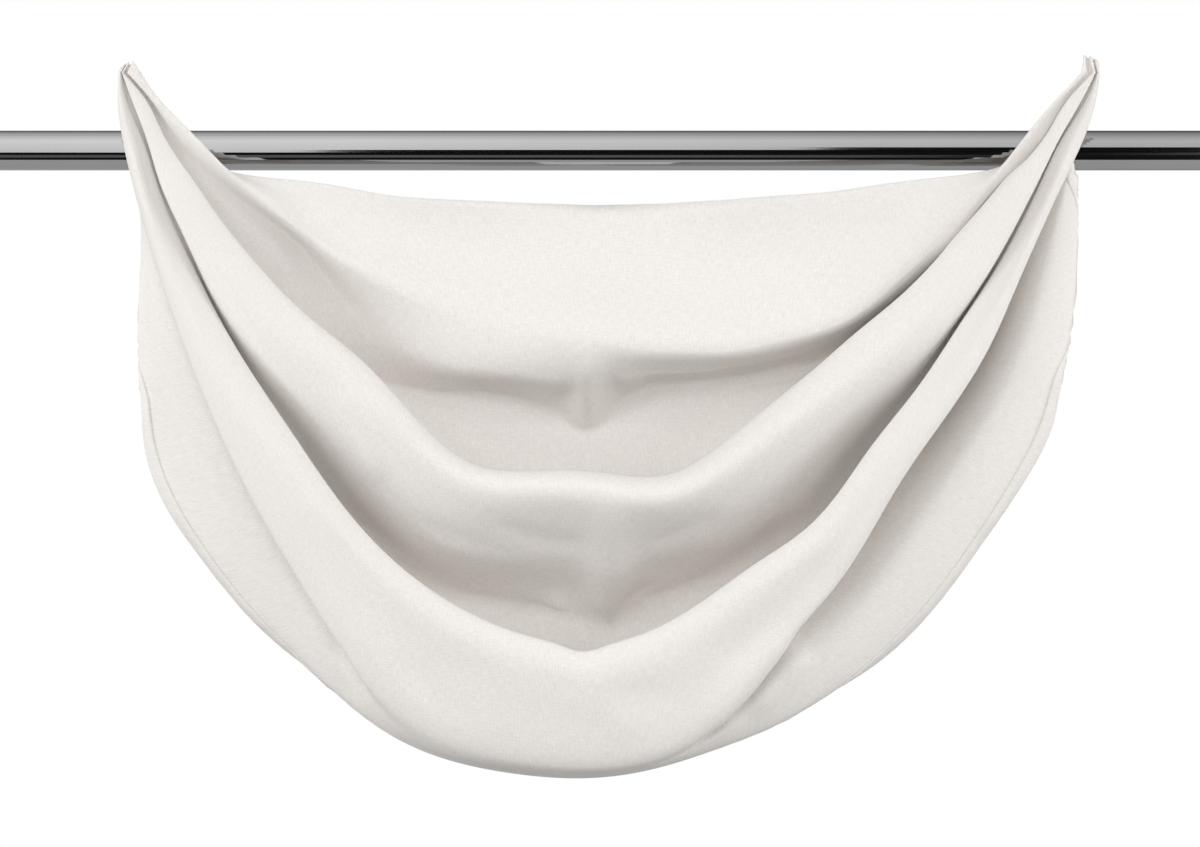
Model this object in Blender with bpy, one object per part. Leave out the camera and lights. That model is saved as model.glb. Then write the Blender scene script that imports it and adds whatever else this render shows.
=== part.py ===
"""A swag of cotton cloth that hangs from its two gathered tips, in front of a plain steel rod.

Metres, with +Z up. X runs along the rod, and the swag hangs on the -Y side of it. The origin is on
the rod's axis at the middle of its length. The tables are in millimetres.

The swag is one sheet. Its sections are planes that stand square to the wall and turn about the
gather centre, the point midway between the two tips, from the left tip (about 0 degrees) round the
bottom (90 degrees) to the right tip (about 180 degrees). Each section is a zigzag through the
sheet's folds, from the plain top edge to the hem.
"""

import math

import bmesh
import bpy
import numpy as np
from mathutils import Matrix

MM = 0.001

ROD_DIAMETER = 40.0
ROD_LENGTH = 1250.0
ROD_END_BEVEL = 1.0
ROD_SIDES = 48

CLOTH_THICKNESS = 1.2
SEAT_GAP = 0.3  # the gap left where the gathered cloth lies against the rod
SEAT_HALF_HEIGHT = 13.0  # the cloth passes straight down in front of the rod within this height
SEAT_SLOPE = 0.7  # how fast the cloth may fall back above and below it

GATHER_CENTRE_HEIGHT = 76.5  # of the gather centre above the rod's axis
SECTION_COUNT = 58
SECTION_CROWDING = 0.45  # how much closer the sections stand at the tips than at the bottom

# How far each fold line lies from the gather centre, in millimetres, at each section's angle.
# tuck is where the cloth turns back out behind fold_4, and hem is the sheet's lower edge.
FOLD_REACH_COLUMNS = (
    "angle", "top_edge", "ridge_1", "crease_1", "lip_2", "crease_2", "lip_3",
    "fold_4", "tuck", "side", "hem",
)
FOLD_REACH = (
    (-1.5, 476, 469, 473, 475, 478.5, 481, 486, 483.5, 485, 477),
    (3, 458, 451, 461, 464, 476, 482, 490, 487, 487, 476),
    (8, 428, 421, 445, 448, 464, 470, 489, 485, 486, 474),
    (14, 398, 393, 424, 429, 458, 463.5, 487, 481, 485, 474),
    (20, 318, 369, 400, 415, 453, 459, 488, 480, 497, 486),
    (28, 257.5, 344, 368, 400, 449.5, 457, 495, 485, 533, 521),
    (38, 205.5, 320, 347, 387, 458, 462.5, 514, 502, 583, 590),
    (50, 168, 295, 338, 378, 477, 479.5, 553, 540, 626, 634),
    (62, 147.5, 278, 341, 397, 519, 517, 612, 600, 661, 665),
    (72, 137.5, 271, 339, 413, 545, 547, 664, 676, 697, 673),
    (82, 133, 268, 342, 401, 541, 567, 678, 691, 706, 676),
    (90, 131.5, 269, 334, 400, 538, 569, 680, 691, 703, 674),
    (98, 132.5, 277, 319, 406, 519, 546, 666, 668, 688, 664),
    (106, 136, 285, 320, 391, 508, 518, 611, 600, 671, 660),
    (114, 142.5, 301, 333, 373, 494, 495, 560, 549, 645, 652),
    (124, 155, 320, 356, 362, 457, 460, 508, 497, 611, 619),
    (134, 176, 344, 364, 360, 438, 442, 484, 474, 582, 589),
    (144, 209, 357, 375, 370, 427, 433, 471, 461, 556, 559),
    (152, 253, 371, 385, 381, 427.5, 434.5, 463, 455, 530, 521),
    (161, 328, 390, 400, 402, 436.5, 441.5, 464, 457, 500, 490),
    (167, 409, 407, 420, 423, 445, 449.5, 470, 464, 483, 474),
    (172, 430, 426, 442, 444, 457, 461, 481, 474, 472, 464),
    (177, 459, 453, 461, 464, 476, 481, 490, 484, 482, 474),
    (182, 479, 471.5, 475.3, 478.5, 482, 484, 489, 487, 488.5, 480),
)

# Where a fold line dips to a short point: the line, the angle, the width in degrees, the dip in mm.
DIPS = (
    ("crease_1", 86.5, 3.2, 22.0),
    ("crease_2", 90.3, 2.6, 23.0),
    ("lip_3", 87.6, 2.2, 7.0),
)

# How far the hidden and rounded parts of a fold lie beyond its lip, in millimetres, by how far
# round from the nearer tip the section is.
STATION_ANGLES = (0, 10, 35, 90)  # the tip, the rod, the shoulder and the middle
BEYOND_LIP = {
    "pocket_1": ("lip_2", (0.5, 3, 14, 40)),
    "nose_2": ("lip_2", (1.5, 4, 12, 28)),
    "pocket_2": ("lip_3", (-1, -2, -1, 46)),
    "nose_3": ("lip_3", (1.5, 4, 14, 38)),
}

# The sections that the swag's depths are given at: the tip, the rod, the shoulder and the flank on
# the left, the middle, and the same again on the right.
DEPTH_ANGLES = (0, 10, 35, 62, 90, 118, 145, 170, 180)
# Where the underside of roll 1 lies between its ridge and its crease.
UNDER_1_SHARE = (0.6, 0.6, 0.7, 0.75, 0.6, 0.5, 0.6, 0.6, 0.6)
# Where the lowest part of roll 2's face lies between its nose and its crease.
UNDER_2_SHARE = (0.6, 0.7, 0.8, 0.65, 0.5, 0.6, 0.78, 0.7, 0.6)
# Where the side panel's rise ends between the tuck and the panel's outer part.
PANEL_4_SHARE = (0.5, 0.5, 0.5, 0.5, 0.5, 0.4, 0.35, 0.5, 0.5)
# How far each fold line stands in front of the rod's axis, in millimetres, in order across the
# sheet.
FOLD_DEPTH = {
    "top_edge": (30, 29, 32, 22, 12, 22, 32, 29, 30),
    "panel_1": (32, 34, 31, 31, 35, 31, 31, 34, 32),
    "ridge_1": (42, 44, 48, 56, 66, 62, 50, 44, 42),
    "under_1": (41, 42, 50, 48, 44, 28, 38, 43, 41),
    "crease_1": (39, 37, 34, 10, 2, 0, 12, 41, 39),
    "pocket_1": (38, 35, 30, 24, 28, 20, 18, 37, 38),
    "lip_2": (43, 52, 66, 76, 80, 76, 66, 52, 43),
    "nose_2": (43, 55, 74, 94, 104, 94, 76, 55, 43),
    "under_2": (42, 54, 74, 52, 52, 47, 70, 54, 42),
    "crease_2": (40, 46, 50, 4, 0, -4, 46, 46, 40),
    "pocket_2": (40, 43, 46, 14, 22, 12, 42, 45, 40),
    "lip_3": (43, 51, 72, 97, 102, 97, 72, 51, 43),
    "nose_3": (44, 54, 84, 112, 119, 110, 82, 54, 44),
    "face_3": (43, 54, 84, 104, 108, 106, 88, 54, 43),
    "fold_4": (39, 44, 66, 84, 88, 98, 86, 50, 39),
    "tuck": (32, 38, 50, 64, 78, 28, -3, 33, 32),
    "panel_4": (29, 30, 38, 54, 68, 50, 38, 28, 29),
    "side": (26, 22, 28, 36, 44, 34, 26, 22, 26),
    "hem": (24, 20, 20, 20, 20, 20, 20, 20, 24),
}
# The mesh steps from each of those lines to the next one.
STEPS_ACROSS = (3, 2, 2, 2, 2, 2, 2, 2, 2, 2, 2, 2, 2, 2, 2, 2, 2, 2)

ROD_FINISH = ("polished_steel", (0.42, 0.42, 0.43), 0.18, 1.0)
CLOTH_FINISH = ("off_white_cotton", (0.86, 0.84, 0.81), 0.9, 0.0)


def clear_scene():
    """Remove whatever the file opened with."""
    for thing in list(bpy.data.objects):
        bpy.data.objects.remove(thing, do_unlink=True)


def make_material(name, colour, roughness, metallic):
    """A plain Principled material."""
    material = bpy.data.materials.new(name)
    material.use_nodes = True
    shader = material.node_tree.nodes["Principled BSDF"]
    shader.inputs["Base Color"].default_value = (*colour, 1.0)
    shader.inputs["Roughness"].default_value = roughness
    shader.inputs["Metallic"].default_value = metallic
    return material


def add_object(name, mesh, finish):
    """Put a mesh in the scene as a named part with its finish."""
    part = bpy.data.objects.new(name, mesh)
    bpy.context.scene.collection.objects.link(part)
    mesh.materials.append(make_material(*finish))
    return part


def smooth_through(knots, values, at):
    """The natural cubic spline through values at knots, read at the given places."""
    knots, values = np.array(knots, float), np.array(values, float)
    step = np.diff(knots)
    slope = np.diff(values) / step
    inner = np.arange(1, len(step))
    balance = np.eye(len(knots))
    balance[inner, inner - 1] = step[:-1]
    balance[inner, inner] = 2 * (step[:-1] + step[1:])
    balance[inner, inner + 1] = step[1:]
    bend = np.linalg.solve(balance, np.concatenate([[0.0], 6 * np.diff(slope), [0.0]]))
    cell = np.clip(np.searchsorted(knots, at) - 1, 0, len(step) - 1)
    width, past = step[cell], at - knots[cell]
    left = width - past
    curve = (bend[cell] * left**3 + bend[cell + 1] * past**3) / (6 * width)
    return (
        curve
        + (values[cell] / width - bend[cell] * width / 6) * left
        + (values[cell + 1] / width - bend[cell + 1] * width / 6) * past
    )


def section_angles():
    """The sections' angles in degrees, closer together at the tips."""
    first, last = FOLD_REACH[0][0], FOLD_REACH[-1][0]
    share = np.linspace(0.0, 1.0, SECTION_COUNT + 1)
    share = share - SECTION_CROWDING * np.sin(2 * math.pi * share) / (2 * math.pi)
    return first + (last - first) * share


def bump(angles, centre, width):
    """A smooth bump of height 1."""
    return np.exp(-(((angles - centre) / width) ** 2))


def fold_lines(angles):
    """The reach and depth of each fold line at the angles, as two arrays of lines by sections."""
    columns = dict(zip(FOLD_REACH_COLUMNS, np.array(FOLD_REACH, float).T))
    knots = columns.pop("angle")
    reach = {name: smooth_through(knots, column, angles) for name, column in columns.items()}
    # The top edge is nearly straight, and one over a straight line's reach varies as a sine.
    reach["top_edge"] = 1 / smooth_through(knots, 1 / columns["top_edge"], angles)
    for name, centre, width, dip in DIPS:
        reach[name] = reach[name] + dip * bump(angles, centre, width)

    around = np.clip(angles, 0.0, 180.0)
    from_tip = np.minimum(around, 180.0 - around)
    for name, (lip, beyond) in BEYOND_LIP.items():
        reach[name] = reach[lip] + smooth_through(STATION_ANGLES, beyond, from_tip)
    roll_1_face = reach["crease_1"] - reach["ridge_1"]
    share = smooth_through(DEPTH_ANGLES, UNDER_1_SHARE, around)
    reach["under_1"] = reach["ridge_1"] + share * roll_1_face
    reach["panel_1"] = (reach["top_edge"] + reach["ridge_1"]) / 2
    share = smooth_through(DEPTH_ANGLES, UNDER_2_SHARE, around)
    reach["under_2"] = reach["nose_2"] + share * (reach["crease_2"] - reach["nose_2"])
    reach["face_3"] = (reach["nose_3"] + reach["fold_4"]) / 2
    share = smooth_through(DEPTH_ANGLES, PANEL_4_SHARE, around)
    reach["panel_4"] = reach["tuck"] + share * (reach["side"] - reach["tuck"])
    depth = [-smooth_through(DEPTH_ANGLES, values, around) for values in FOLD_DEPTH.values()]
    return np.array([reach[name] for name in FOLD_DEPTH]), np.array(depth)


def curve_across(points):
    """A centripetal Catmull-Rom curve through one section's points, with the steps of each span."""
    ends = (2 * points[0] - points[1], 2 * points[-1] - points[-2])
    points = np.vstack([ends[0], points, ends[1]])
    gap = np.sqrt(np.linalg.norm(np.diff(points, axis=0), axis=1))
    knot = np.concatenate([[0.0], np.cumsum(gap)])
    curve = []
    for span, steps in enumerate(STEPS_ACROSS):
        near = points[span:span + 4]
        k = knot[span:span + 4]
        for t in np.linspace(k[1], k[2], steps, endpoint=False):
            a = [
                ((k[i + 1] - t) * near[i] + (t - k[i]) * near[i + 1]) / (k[i + 1] - k[i])
                for i in range(3)
            ]
            b = [
                ((k[i + 2] - t) * a[i] + (t - k[i]) * a[i + 1]) / (k[i + 2] - k[i])
                for i in range(2)
            ]
            curve.append(((k[2] - t) * b[0] + (t - k[1]) * b[1]) / (k[2] - k[1]))
    curve.append(points[-2])
    return np.array(curve)


def lay_against_rod(depth, height):
    """Hold the sheet's middle surface in front of the rod, with the seat's gap where it touches."""
    seat = -(ROD_DIAMETER / 2 + SEAT_GAP + CLOTH_THICKNESS / 2)
    fall_back = SEAT_SLOPE * np.maximum(0.0, np.abs(height) - SEAT_HALF_HEIGHT)
    return np.minimum(depth, seat + fall_back)


def swag_surface():
    """The sheet's middle surface, as an array of sections by points across, in metres."""
    angles = section_angles()
    reach, depth = fold_lines(angles)
    surface = []
    for number, angle in enumerate(np.radians(angles)):
        section = curve_across(np.stack([reach[:, number], depth[:, number]], axis=1))
        across, out = section[:, 0], section[:, 1]
        height = GATHER_CENTRE_HEIGHT - across * math.sin(angle)
        surface.append(
            np.stack([-across * math.cos(angle), lay_against_rod(out, height), height], axis=1)
        )
    return np.array(surface) * MM


def build_swag():
    """The cloth sheet, thickened evenly to both sides of its middle surface."""
    surface = swag_surface()
    sections, across = surface.shape[:2]
    mesh = bpy.data.meshes.new("swag")
    faces = [
        (i * across + j, (i + 1) * across + j, (i + 1) * across + j + 1, i * across + j + 1)
        for i in range(sections - 1)
        for j in range(across - 1)
    ]
    mesh.from_pydata(surface.reshape(-1, 3).tolist(), [], faces)
    mesh.validate()
    mesh.shade_smooth()
    swag = add_object("swag", mesh, CLOTH_FINISH)
    thicken = swag.modifiers.new("cloth thickness", "SOLIDIFY")
    thicken.thickness = CLOTH_THICKNESS * MM
    thicken.offset = 0.0
    return swag


def build_rod():
    """The rod: a plain round bar along X with flat, lightly bevelled ends."""
    mesh = bpy.data.meshes.new("rod")
    shape = bmesh.new()
    bmesh.ops.create_cone(
        shape,
        cap_ends=True,
        segments=ROD_SIDES,
        radius1=ROD_DIAMETER / 2 * MM,
        radius2=ROD_DIAMETER / 2 * MM,
        depth=ROD_LENGTH * MM,
    )
    rims = [edge for edge in shape.edges if any(len(face.verts) > 4 for face in edge.link_faces)]
    bmesh.ops.bevel(shape, geom=rims, offset=ROD_END_BEVEL * MM, segments=2, affect="EDGES")
    bmesh.ops.rotate(
        shape,
        verts=shape.verts,
        cent=(0.0, 0.0, 0.0),
        matrix=Matrix.Rotation(math.radians(90), 3, "Y"),
    )
    shape.to_mesh(mesh)
    shape.free()
    mesh.shade_smooth()
    mesh.set_sharp_from_angle(angle=math.radians(30))
    return add_object("rod", mesh, ROD_FINISH)


clear_scene()
build_rod()
build_swag()
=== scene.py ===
"""A cotton swag that hangs from its two gathered tips, in front of a polished curtain rod."""

import logging
import math
from dataclasses import dataclass
from enum import Enum
from typing import Any, Iterable, Sequence

import bpy
import numpy as np
from mathutils import Euler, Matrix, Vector


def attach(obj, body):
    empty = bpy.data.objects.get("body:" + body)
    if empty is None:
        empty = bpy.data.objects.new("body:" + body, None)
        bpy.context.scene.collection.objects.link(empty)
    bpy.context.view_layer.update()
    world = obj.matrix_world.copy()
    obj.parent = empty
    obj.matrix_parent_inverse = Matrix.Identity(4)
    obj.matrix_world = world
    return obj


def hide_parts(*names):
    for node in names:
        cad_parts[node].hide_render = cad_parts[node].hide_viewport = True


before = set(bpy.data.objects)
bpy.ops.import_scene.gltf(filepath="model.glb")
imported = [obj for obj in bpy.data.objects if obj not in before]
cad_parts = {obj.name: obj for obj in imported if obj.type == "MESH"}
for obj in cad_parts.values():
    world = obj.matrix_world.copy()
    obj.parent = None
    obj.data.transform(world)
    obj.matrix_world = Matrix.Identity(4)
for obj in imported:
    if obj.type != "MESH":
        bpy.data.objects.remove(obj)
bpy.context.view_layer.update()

LOG = logging.getLogger("swag")
MM = 0.001

Colour = tuple[float, float, float]


class Rides(Enum):
    """The bodies that a piece can ride on."""

    ROOT = "root"


# --------------------------------------------------------------------------- shader helpers


class Signal:
    """A shader socket, or a number, whose arithmetic adds Math nodes."""

    def __init__(self, board: "NodeBoard", source: Any) -> None:
        """Wrap an output socket of the board's node tree."""
        self.board = board
        self.source = source

    def maths(self, operation: str, first: Any, second: Any = None) -> "Signal":
        """Add one Math node.

        Args:
            operation: Blender's name for the operation.
            first: the first term, a signal or a number.
            second: the second term, or None where the operation has one term.

        Returns:
            The node's result.
        """
        terms = {0: first} if second is None else {0: first, 1: second}
        return self.board.add("ShaderNodeMath", {"operation": operation}, terms)

    def __add__(self, other: Any) -> "Signal":
        """Return self + other."""
        return self.maths("ADD", self, other)

    def __radd__(self, other: Any) -> "Signal":
        """Return other + self."""
        return self.maths("ADD", other, self)

    def __sub__(self, other: Any) -> "Signal":
        """Return self - other."""
        return self.maths("SUBTRACT", self, other)

    def __rsub__(self, other: Any) -> "Signal":
        """Return other - self."""
        return self.maths("SUBTRACT", other, self)

    def __mul__(self, other: Any) -> "Signal":
        """Return self * other."""
        return self.maths("MULTIPLY", self, other)

    def sine(self) -> "Signal":
        """Return the sine of this signal."""
        return self.maths("SINE", self)


class NodeBoard:
    """A node tree that nodes are added to in one way."""

    # The Mix node's sockets for colours, by number, because their names repeat.
    MIX_SHARE, MIX_LOW, MIX_HIGH, MIX_COLOUR = 0, 6, 7, 2

    def __init__(self, tree: bpy.types.NodeTree) -> None:
        """Start from a tree with no nodes in it."""
        self.tree = tree
        tree.nodes.clear()

    def add(self, kind: str, settings: dict[str, Any], inputs: dict[Any, Any],
            output: int | str = 0) -> Signal:
        """Add a node, set it up and feed it.

        Args:
            kind: the node's Blender type name.
            settings: its properties, set before its sockets; "stops" fills a colour ramp.
            inputs: its input sockets by name or number, with a value or a signal for each.
            output: the output socket to hand back.

        Returns:
            The chosen output of the node.
        """
        node = self.tree.nodes.new(kind)
        for name, value in settings.items():
            if name == "stops":
                self.fill_ramp(node.color_ramp, value)
            else:
                setattr(node, name, value)
        for key, value in inputs.items():
            if isinstance(value, Signal):
                self.tree.links.new(value.source, node.inputs[key])
            else:
                node.inputs[key].default_value = value
        return Signal(self, node.outputs[output] if node.outputs else node)

    def axis(self, place: Signal, name: str) -> Signal:
        """Return the X, Y or Z of a place."""
        return self.add("ShaderNodeSeparateXYZ", {}, {"Vector": place}, name)

    def blend(self, share: Signal, low: Colour, high: Colour) -> Signal:
        """Mix two colours.

        Args:
            share: how far the mix has gone from low to high, from 0 to 1.
            low: the first colour.
            high: the second colour.

        Returns:
            The mixed colour.
        """
        inputs = {self.MIX_SHARE: share, self.MIX_LOW: (*low, 1.0), self.MIX_HIGH: (*high, 1.0)}
        return self.add("ShaderNodeMix", {"data_type": "RGBA", "clamp_factor": True}, inputs,
                        self.MIX_COLOUR)

    def relief(self, height: Signal, strength: float, distance: float) -> Signal:
        """Return the normal of a relief, its height given from 0 to 1 of a distance in metres."""
        return self.add("ShaderNodeBump", {},
                        {"Strength": strength, "Distance": distance, "Height": height})

    def coat(self, shader: str, sockets: dict[str, Any]) -> None:
        """Make a shader of the kind named, with its sockets fed, the material's surface."""
        self.add("ShaderNodeOutputMaterial", {}, {"Surface": self.add(shader, {}, sockets)})

    @staticmethod
    def fill_ramp(ramp: bpy.types.ColorRamp, stops: Sequence[tuple[float, Colour]]) -> None:
        """Give a colour ramp its stops.

        Args:
            ramp: the colour ramp.
            stops: a place from 0 to 1 and a colour for each stop.
        """
        while len(ramp.elements) < len(stops):
            ramp.elements.new(1.0)
        for element, (place, colour) in zip(ramp.elements, stops):
            element.position = place
            element.color = (*colour, 1.0)


def new_material(name: str) -> tuple[bpy.types.Material, NodeBoard]:
    """Make an empty node material.

    Args:
        name: the material's name.

    Returns:
        The material and its node board.
    """
    material = bpy.data.materials.new(name)
    material.use_nodes = True
    return material, NodeBoard(material.node_tree)


# --------------------------------------------------------------------------- finishes


@dataclass(frozen=True)
class CottonFinish:
    """Matt plain-woven cotton, with thick and thin threads both ways. Its colour is darker in the
    weave's sunk gaps, as painted shade.
    """

    name: str = "off_white_cotton"
    thread: Colour = (0.795, 0.764, 0.735)
    # gap is the painted shade colour of the weave's sunk gaps between the threads
    gap: Colour = (0.61, 0.575, 0.54)
    pitch: float = 0.00055
    slub_length: float = 0.009
    slub_width: float = 0.0011
    slub_detail: float = 2.0
    weave_height: float = 0.35
    slub_height: float = 1.6
    plain_shade: float = 0.62
    weave_shade: float = 0.10
    slub_shade: float = 0.75
    roughness: float = 0.92
    sheen: float = 0.10
    specular: float = 0.2
    relief: float = 0.00016
    relief_strength: float = 0.5

    def slub(self, board: NodeBoard, place: Signal, length: float, width: float) -> Signal:
        """Make the thick and thin of one set of threads.

        Args:
            board: the material's node board.
            place: the place on the cloth, in metres.
            length: how long a thick place is along the sheet's map, in metres.
            width: how wide it is across the map, in metres.

        Returns:
            A noise from 0 to 1, drawn out along the threads.
        """
        stretched = board.add("ShaderNodeVectorMath", {"operation": "MULTIPLY"},
                              {0: place, 1: (1 / length, 1 / width, 1.0)})
        return board.add("ShaderNodeTexNoise", {"noise_dimensions": "2D"},
                         {"Vector": stretched, "Scale": 1.0, "Detail": self.slub_detail})

    def build(self) -> bpy.types.Material:
        """Make the material.

        Returns:
            The material, which reads the sheet's own map, in metres of cloth.
        """
        material, board = new_material(self.name)
        place = board.add("ShaderNodeUVMap", {"uv_map": SwagCloth.MAP}, {})
        turn = math.pi / self.pitch
        weave = (board.axis(place, "X") * turn).sine() * (board.axis(place, "Y") * turn).sine()
        slub = (self.slub(board, place, self.slub_length, self.slub_width)
                + self.slub(board, place, self.slub_width, self.slub_length) - 1.0)
        height = weave * self.weave_height + slub * self.slub_height
        # The weave's sunk gaps take the gap colour as painted shade; the slubs only vary the tone,
        # lighter where a thread is thick.
        gap_shade_and_slub_tone = self.plain_shade + weave * self.weave_shade + slub * self.slub_shade
        board.coat("ShaderNodeBsdfPrincipled", {
            "Base Color": board.blend(gap_shade_and_slub_tone, self.gap, self.thread),
            "Roughness": self.roughness,
            "Sheen Weight": self.sheen,
            "Specular IOR Level": self.specular,
            "Normal": board.relief(height, self.relief_strength, self.relief),
        })
        return material


@dataclass(frozen=True)
class ThreadFinish:
    """Two-ply cotton sewing thread, coloured darker than the cloth as painted shade of the seam's
    groove.
    """

    name: str = "sewing_thread"
    # Both colours are darker than the cloth as painted shade of the seam's groove; dark is also the
    # painted shade between the plies.
    light: Colour = (0.60, 0.565, 0.52)
    dark: Colour = (0.42, 0.385, 0.345)
    ply: float = 0.0004
    plies_per_wave: float = 0.3
    unevenness: float = 0.6
    dark_to: float = 0.2
    light_from: float = 0.8
    roughness: float = 0.8
    relief: float = 0.0001
    relief_strength: float = 0.4

    def build(self) -> bpy.types.Material:
        """Make the material.

        Returns:
            The material, whose plies run slantwise over Object coordinates.
        """
        material, board = new_material(self.name)
        twist = board.add(
            "ShaderNodeTexWave",
            {"bands_direction": "DIAGONAL"},
            {
                "Vector": board.add("ShaderNodeTexCoord", {}, {}, "Object"),
                "Scale": self.plies_per_wave / self.ply,
                "Distortion": self.unevenness,
            },
            "Fac",
        )
        # The ramp is dark where the twist sinks between the plies, as painted shade, and light on
        # the plies.
        stops = ((self.dark_to, self.dark), (self.light_from, self.light))
        board.coat("ShaderNodeBsdfPrincipled", {
            "Base Color": board.add("ShaderNodeValToRGB", {"stops": stops}, {"Fac": twist}),
            "Roughness": self.roughness,
            "Normal": board.relief(twist, self.relief_strength, self.relief),
        })
        return material


@dataclass(frozen=True)
class SteelFinish:
    """Drawn and polished steel tube, with faint draw lines along it."""

    name: str = "polished_steel_tube"
    bright: Colour = (0.45, 0.45, 0.455)
    dull: Colour = (0.39, 0.39, 0.395)
    roughness: float = 0.07
    line_roughness: float = 0.05
    cloud_roughness: float = 0.03
    line_width: float = 0.0009
    line_length: float = 0.30
    line_detail: float = 3.0
    cloud_scale: float = 9.0
    cloud_detail: float = 2.0
    middle: float = 0.5
    relief: float = 0.0001
    relief_strength: float = 0.06

    def build(self) -> bpy.types.Material:
        """Make the material.

        Returns:
            The material, whose draw lines follow Object X, the rod's axis.
        """
        material, board = new_material(self.name)
        place = board.add("ShaderNodeTexCoord", {}, {}, "Object")
        stretched = board.add(
            "ShaderNodeVectorMath",
            {"operation": "MULTIPLY"},
            {0: place, 1: (1 / self.line_length, 1 / self.line_width, 1 / self.line_width)},
        )
        lines = board.add("ShaderNodeTexNoise", {}, {
            "Vector": stretched, "Scale": 1.0, "Detail": self.line_detail,
        })
        clouds = board.add("ShaderNodeTexNoise", {}, {
            "Vector": place, "Scale": self.cloud_scale, "Detail": self.cloud_detail,
        })
        mottle = lines * self.middle + clouds * self.middle
        board.coat("ShaderNodeBsdfPrincipled", {
            "Base Color": board.blend(mottle, self.dull, self.bright),
            "Metallic": 1.0,
            "Roughness": (self.roughness + (lines - self.middle) * self.line_roughness
                          + (clouds - self.middle) * self.cloud_roughness),
            "Normal": board.relief(lines, self.relief_strength, self.relief),
        })
        return material


# --------------------------------------------------------------------------- curves


def smooth_through(knots: Sequence[float], values: Any, at: np.ndarray) -> np.ndarray:
    """Read the natural cubic spline through values at knots.

    Args:
        knots: increasing places, one for each value.
        values: the values, or one row of values for each knot.
        at: where to read the curve.

    Returns:
        The curve's value at each place.
    """
    knots, values = np.array(knots, float), np.array(values, float)
    flat = values.reshape(len(knots), -1)
    step = np.diff(knots)[:, None]
    slope = np.diff(flat, axis=0) / step
    inner = np.arange(1, len(step))
    balance = np.eye(len(knots))
    balance[inner, inner - 1] = step[:-1, 0]
    balance[inner, inner] = 2 * (step[:-1, 0] + step[1:, 0])
    balance[inner, inner + 1] = step[1:, 0]
    still = np.zeros((1, flat.shape[1]))
    bend = np.linalg.solve(balance, np.vstack([still, 6 * np.diff(slope, axis=0), still]))
    cell = np.clip(np.searchsorted(knots, at) - 1, 0, len(step) - 1)
    width, past = step[cell], (at - knots[cell])[:, None]
    left = width - past
    curve = (
        (bend[cell] * left**3 + bend[cell + 1] * past**3) / (6 * width)
        + (flat[cell] / width - bend[cell] * width / 6) * left
        + (flat[cell + 1] / width - bend[cell + 1] * width / 6) * past
    )
    return curve.reshape((len(at), *values.shape[1:]))


def smooth_step(value: np.ndarray) -> np.ndarray:
    """Return the soft step from 0 to 1 as value goes from 0 to 1."""
    share = np.clip(value, 0.0, 1.0)
    return share * share * (3 - 2 * share)


def bump(place: np.ndarray, centre: float, width: float) -> np.ndarray:
    """Return a smooth bump of height 1 about the centre."""
    return np.exp(-(((place - centre) / width) ** 2))


# --------------------------------------------------------------------------- the cloth


@dataclass(frozen=True)
class SoftFold:
    """A soft trough or ridge pressed into the sheet between two of its fold lines."""

    first: str
    last: str
    width: float
    height: float
    sharpness: float
    path: tuple[tuple[float, float], ...]

    def lift(self, across: np.ndarray, up: np.ndarray) -> np.ndarray:
        """Work out how far the fold lifts the sheet.

        Args:
            across: the points' X, in millimetres.
            up: the points' Z, in millimetres.

        Returns:
            The lift at each point, in millimetres, out of the cloth's face.
        """
        path = np.array(self.path, float)
        spans = np.linalg.norm(np.diff(path, axis=0), axis=1)
        start = np.concatenate([[0.0], np.cumsum(spans)])
        nearest = np.full(across.shape, np.inf)
        along = np.zeros(across.shape)
        for (x, z), way, span, begin in zip(path, np.diff(path, axis=0), spans, start):
            run = np.clip(((across - x) * way[0] + (up - z) * way[1]) / span, 0.0, span)
            gap = np.hypot(across - x - run * way[0] / span, up - z - run * way[1] / span)
            along = np.where(gap < nearest, begin + run, along)
            nearest = np.minimum(gap, nearest)
        swell = smooth_step(4 * np.minimum(along, start[-1] - along) / start[-1])
        return self.height * swell * np.exp(-((nearest / self.width) ** self.sharpness))


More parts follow.
